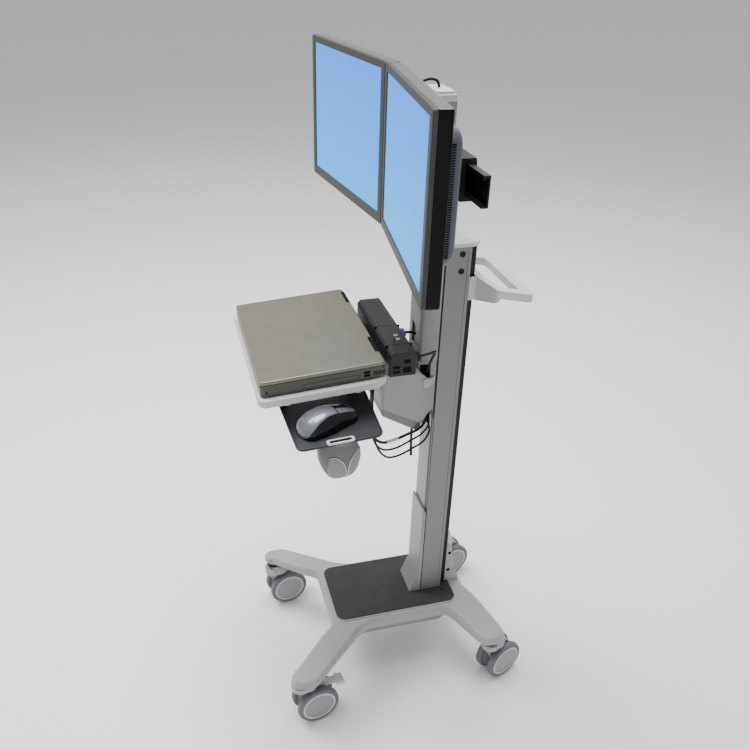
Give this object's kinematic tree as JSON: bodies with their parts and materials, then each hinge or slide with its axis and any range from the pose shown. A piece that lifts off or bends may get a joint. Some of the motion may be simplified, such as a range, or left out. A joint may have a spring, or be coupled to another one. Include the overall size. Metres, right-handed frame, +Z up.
{
  "type": "medication cart",
  "caption": "Wheeled ward computer cart: casters, foot mat, slotted mast, counterbalanced lift, tilting displays, laptop tray, slide-out mouse tray and push handle.",
  "frame": {"origin": "centre of the footprint box on the floor", "axes": "+Z up, the user stands on the -Y side, +X to the user's right"},
  "size_m": [0.7704, 0.618, 1.4065],
  "materials": {
    "light_grey_paint": "satin light grey powder coat",
    "light_grey_plastic": "satin light grey moulding",
    "base_paint": "satin mid-light grey powder coat on cast aluminium",
    "mast_aluminium": "anodised grey extrusion",
    "cover_plastic": "grained dark grey moulding",
    "charcoal_plastic": "fine-grained charcoal moulding",
    "black_plastic": "satin black moulding",
    "black_metal": "semi-gloss black powder coat",
    "mat_rubber": "dark textured foot mat",
    "steel": "zinc-plated steel",
    "tyre": "grey polyurethane tread on a light grey wheel",
    "laptop_shell": "metallic warm grey lacquer on a moulded shell",
    "bezel_plastic": "grained grey-brown bezel",
    "screen": "lit display showing a plain blue fade",
    "silver_plastic": "silver lacquered plastic",
    "cable": "black cable sheath"
  },
  "bodies": {
    "base": {"base_frame": "base_paint", "foot_mat": "mat_rubber", "ballast_plate": "base_paint", "mast_extrusion": "mast_aluminium", "mast_rear_channel": "black_plastic", "mast_cap": "light_grey_plastic", "front_shroud": "light_grey_plastic", "push_handle": "light_grey_paint", "handle_bolt_lower": "steel", "handle_bolt_upper": "steel", "spring_strip": "steel"},
    "spring_drum": {"spring_drum": "steel"},
    "lift": {"lift_carriage": "mast_aluminium", "riser_cover": "mast_aluminium", "riser_cap": "light_grey_plastic", "tray_arm": "mast_aluminium", "arm_lower_cover": "cover_plastic", "worksurface_tray": "light_grey_plastic", "laptop_base": "laptop_shell", "dock_body": "charcoal_plastic", "crossbar": "black_metal", "tray_cable_thick": "cable", "tray_cable_middle": "cable", "tray_cable_thin": "cable", "cable_tail": "cable", "dock_cable_power": "cable", "dock_cable_video": "cable", "display_cable": "cable"},
    "roller_lower": {"guide_roller_lower": "black_plastic"},
    "roller_upper": {"guide_roller_upper": "black_plastic"},
    "laptop_lid": {"laptop_lid": "laptop_shell"},
    "optical_drive": {"optical_drive": "laptop_shell"},
    "dock_button_power": {"dock_button_power": "silver_plastic"},
    "dock_button_eject": {"dock_button_eject": "silver_plastic"},
    "mouse_tray": {"mouse_tray": "charcoal_plastic", "holder_cup": "charcoal_plastic", "mouse_body": "black_plastic"},
    "mouse_button_left": {"mouse_button_left": "silver_plastic"},
    "mouse_button_right": {"mouse_button_right": "silver_plastic"},
    "mouse_wheel": {"mouse_wheel": "black_plastic"},
    "display_slider_right": {"display_slider_right": "black_metal"},
    "display_right": {"display_back_right": "cover_plastic", "display_bezel_right": "bezel_plastic", "display_panel_right": "screen", "display_head_right": "black_metal"},
    "display_slider_left": {"display_slider_left": "black_metal"},
    "display_left": {"display_back_left": "cover_plastic", "display_bezel_left": "bezel_plastic", "display_panel_left": "screen", "display_head_left": "black_metal"},
    "caster_front_right": {"caster_fork_front_right": "base_paint"},
    "wheels_front_right": {"caster_wheels_front_right": "tyre"},
    "brake_front_right": {"brake_lever_front_right": "light_grey_plastic"},
    "caster_front_left": {"caster_fork_front_left": "base_paint"},
    "wheels_front_left": {"caster_wheels_front_left": "tyre"},
    "brake_front_left": {"brake_lever_front_left": "light_grey_plastic"},
    "caster_rear_right": {"caster_fork_rear_right": "base_paint"},
    "wheels_rear_right": {"caster_wheels_rear_right": "tyre"},
    "caster_rear_left": {"caster_fork_rear_left": "base_paint"},
    "wheels_rear_left": {"caster_wheels_rear_left": "tyre"}
  },
  "joints": [
    {"name": "lift_slide", "type": "slide", "parent": "base", "child": "lift", "axis": [0, 0, 1], "range_m": [-0.22, 0.25], "deforming": ["spring_strip"]},
    {"name": "spring_drum_turn", "type": "hinge", "parent": "base", "child": "spring_drum", "pos_m": [0, 0.1187, 1.03], "axis": [1, 0, 0], "range_deg": [-965, 850]},
    {"name": "roller_lower_turn", "type": "hinge", "parent": "lift", "child": "roller_lower", "pos_m": [0, 0.1187, 0.59], "axis": [1, 0, 0], "range_deg": [-1030, 905]},
    {"name": "roller_upper_turn", "type": "hinge", "parent": "lift", "child": "roller_upper", "pos_m": [0, 0.1187, 0.712], "axis": [1, 0, 0], "range_deg": [-1030, 905]},
    {"name": "laptop_lid_hinge", "type": "hinge", "parent": "lift", "child": "laptop_lid", "pos_m": [0.01, -0.07199, 0.91663], "axis": [-1, 0, 0], "range_deg": [0, 85]},
    {"name": "optical_drive_slide", "type": "slide", "parent": "lift", "child": "optical_drive", "axis": [1, 0, 0], "range_m": [0, 0.11]},
    {"name": "dock_button_power_press", "type": "slide", "parent": "lift", "child": "dock_button_power", "axis": [0, 0, -1], "range_m": [0, 0.0015], "stiffness_N_per_m": 400},
    {"name": "dock_button_eject_press", "type": "slide", "parent": "lift", "child": "dock_button_eject", "axis": [0, 0, -1], "range_m": [0, 0.0015], "stiffness_N_per_m": 400},
    {"name": "mouse_tray_slide", "type": "slide", "parent": "lift", "child": "mouse_tray", "axis": [1, 0, 0], "range_m": [-0.14, 0]},
    {"name": "mouse_button_left_press", "type": "hinge", "parent": "mouse_tray", "child": "mouse_button_left", "pos_m": [0.17712, -0.17794, 0.84908], "axis": [0.9455, 0.3248, 0.0227], "range_deg": [-0.9, 0], "stiffness_Nm_per_rad": 2},
    {"name": "mouse_button_right_press", "type": "hinge", "parent": "mouse_tray", "child": "mouse_button_right", "pos_m": [0.20738, -0.16755, 0.8498], "axis": [0.9455, 0.3248, 0.0227], "range_deg": [-0.9, 0], "stiffness_Nm_per_rad": 2},
    {"name": "mouse_wheel_roll", "type": "hinge", "parent": "mouse_tray", "child": "mouse_wheel", "pos_m": [0.18593, -0.15382, 0.84174], "axis": [0.9455, 0.3248, 0.0227], "continuous": true},
    {"name": "display_slide_right", "type": "slide", "parent": "lift", "child": "display_slider_right", "axis": [1, 0, 0], "range_m": [0, 0.035]},
    {"name": "display_tilt_right", "type": "hinge", "parent": "display_slider_right", "child": "display_right", "pos_m": [0.2005, 0.00994, 1.264], "axis": [-0.9921, 0.1253, 0], "range_deg": [-4, 15]},
    {"name": "display_slide_left", "type": "slide", "parent": "lift", "child": "display_slider_left", "axis": [-1, 0, 0], "range_m": [0, 0.035]},
    {"name": "display_tilt_left", "type": "hinge", "parent": "display_slider_left", "child": "display_left", "pos_m": [-0.2005, 0.00994, 1.264], "axis": [-0.9921, -0.1253, 0], "range_deg": [-4, 15]},
    {"name": "caster_swivel_front_right", "type": "hinge", "parent": "base", "child": "caster_front_right", "pos_m": [0.194, -0.2503, 0.13], "axis": [0, 0, 1], "continuous": true},
    {"name": "wheels_roll_front_right", "type": "hinge", "parent": "caster_front_right", "child": "wheels_front_right", "pos_m": [0.1881, -0.21682, 0.05], "axis": [0.9848, 0.1736, 0], "continuous": true},
    {"name": "brake_press_front_right", "type": "hinge", "parent": "caster_front_right", "child": "brake_front_right", "pos_m": [0.18376, -0.1922, 0.091], "axis": [0.9848, 0.1736, 0], "range_deg": [-12, 0]},
    {"name": "caster_swivel_front_left", "type": "hinge", "parent": "base", "child": "caster_front_left", "pos_m": [-0.194, -0.2503, 0.13], "axis": [0, 0, 1], "continuous": true},
    {"name": "wheels_roll_front_left", "type": "hinge", "parent": "caster_front_left", "child": "wheels_front_left", "pos_m": [-0.19932, -0.21672, 0.05], "axis": [0.9877, 0.1564, 0], "continuous": true},
    {"name": "brake_press_front_left", "type": "hinge", "parent": "caster_front_left", "child": "brake_front_left", "pos_m": [-0.20323, -0.19203, 0.091], "axis": [0.9877, 0.1564, 0], "range_deg": [-12, 0]},
    {"name": "caster_swivel_rear_right", "type": "hinge", "parent": "base", "child": "caster_rear_right", "pos_m": [0.184, 0.2217, 0.13], "axis": [0, 0, 1], "continuous": true},
    {"name": "wheels_roll_rear_right", "type": "hinge", "parent": "caster_rear_right", "child": "wheels_rear_right", "pos_m": [0.17181, 0.25344, 0.05], "axis": [0.9336, 0.3584, 0], "continuous": true},
    {"name": "caster_swivel_rear_left", "type": "hinge", "parent": "base", "child": "caster_rear_left", "pos_m": [-0.184, 0.2217, 0.13], "axis": [0, 0, 1], "continuous": true},
    {"name": "wheels_roll_rear_left", "type": "hinge", "parent": "caster_rear_left", "child": "wheels_rear_left", "pos_m": [-0.19223, 0.25469, 0.05], "axis": [0.9703, 0.2419, 0], "continuous": true}
  ],
  "couplings": [
    {"joint": "spring_drum_turn", "follows": "lift_slide", "rad_per_m": -67},
    {"joint": "roller_lower_turn", "follows": "lift_slide", "rad_per_m": -71.429},
    {"joint": "roller_upper_turn", "follows": "lift_slide", "rad_per_m": -71.429}
  ]
}
